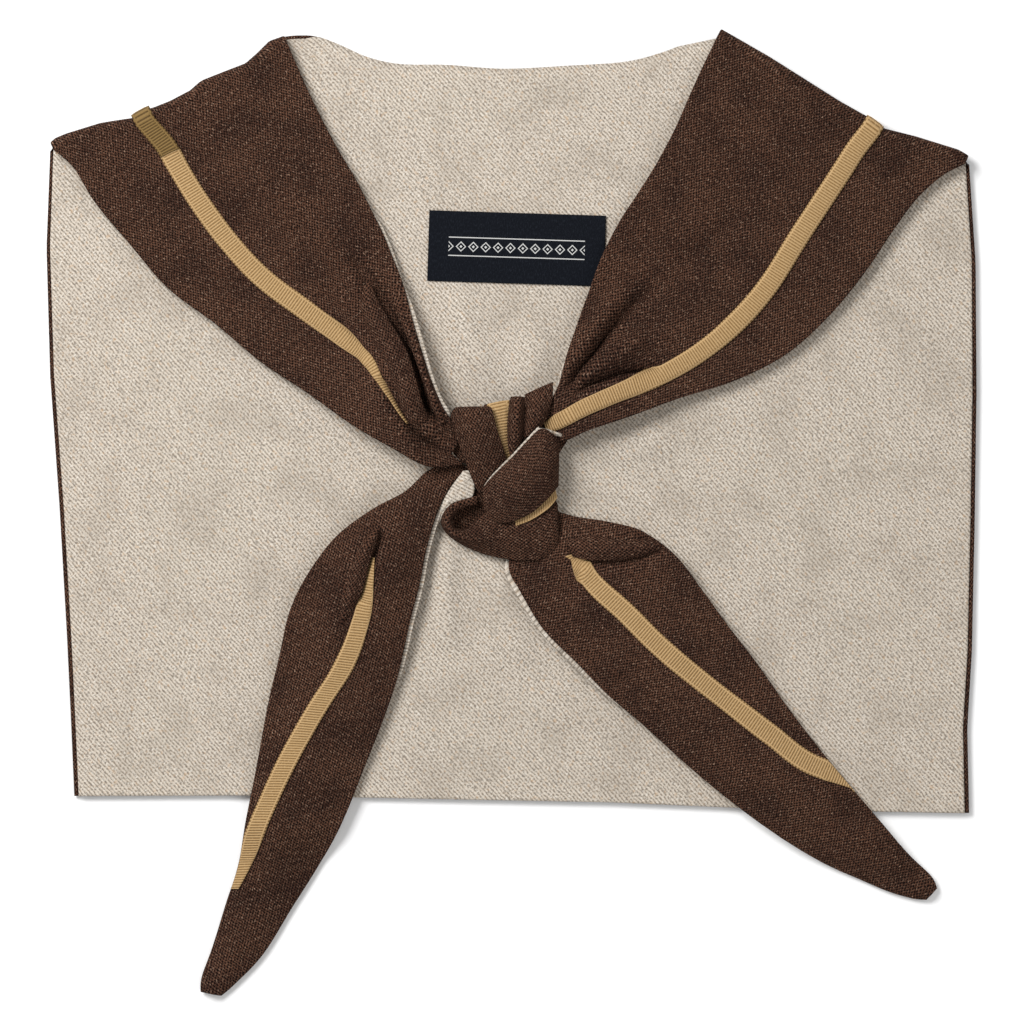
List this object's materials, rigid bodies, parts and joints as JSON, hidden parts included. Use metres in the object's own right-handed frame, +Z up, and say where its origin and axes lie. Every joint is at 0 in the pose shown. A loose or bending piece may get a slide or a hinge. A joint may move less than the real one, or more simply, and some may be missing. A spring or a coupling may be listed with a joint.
{
  "type": "sailor collar",
  "caption": "Sailor collar of woven cloth with a twill lining and a ribbon stripe, laid flat with its fronts folded over and tied in a knot.",
  "frame": {"origin": "centre of the footprint, on the surface that the collar lies on", "axes": "+X to the right of the picture, across the back; +Y from the hem toward the neck; +Z up from the surface"},
  "size_m": [0.3152, 0.328, 0.0192],
  "materials": {
    "outer_cloth": "coarse dark brown woven wool and linen",
    "lining_twill": "beige melange twill with light and dark flecks",
    "ribbon": "mustard grosgrain with ribs across and picot edges",
    "label_cloth": "black woven satin label"
  },
  "bodies": {
    "root": {"collar_shell": "outer_cloth", "collar_lining": "lining_twill", "label": "label_cloth", "ribbon_left": "ribbon", "ribbon_right": "ribbon", "ribbon_hem": "ribbon", "tail_left_shell": "outer_cloth", "tail_left_lining": "lining_twill", "tail_left_ribbon": "ribbon", "tail_left_turn": "lining_twill", "tail_right_shell": "outer_cloth", "tail_right_lining": "lining_twill", "tail_right_ribbon": "ribbon", "knot_rise": "outer_cloth", "knot_under": "outer_cloth", "knot_rise_ribbon": "ribbon", "knot_fold": "outer_cloth", "knot_gather": "outer_cloth", "knot_front": "outer_cloth", "knot_front_lining": "lining_twill", "knot_loop": "outer_cloth"}
  },
  "joints": []
}
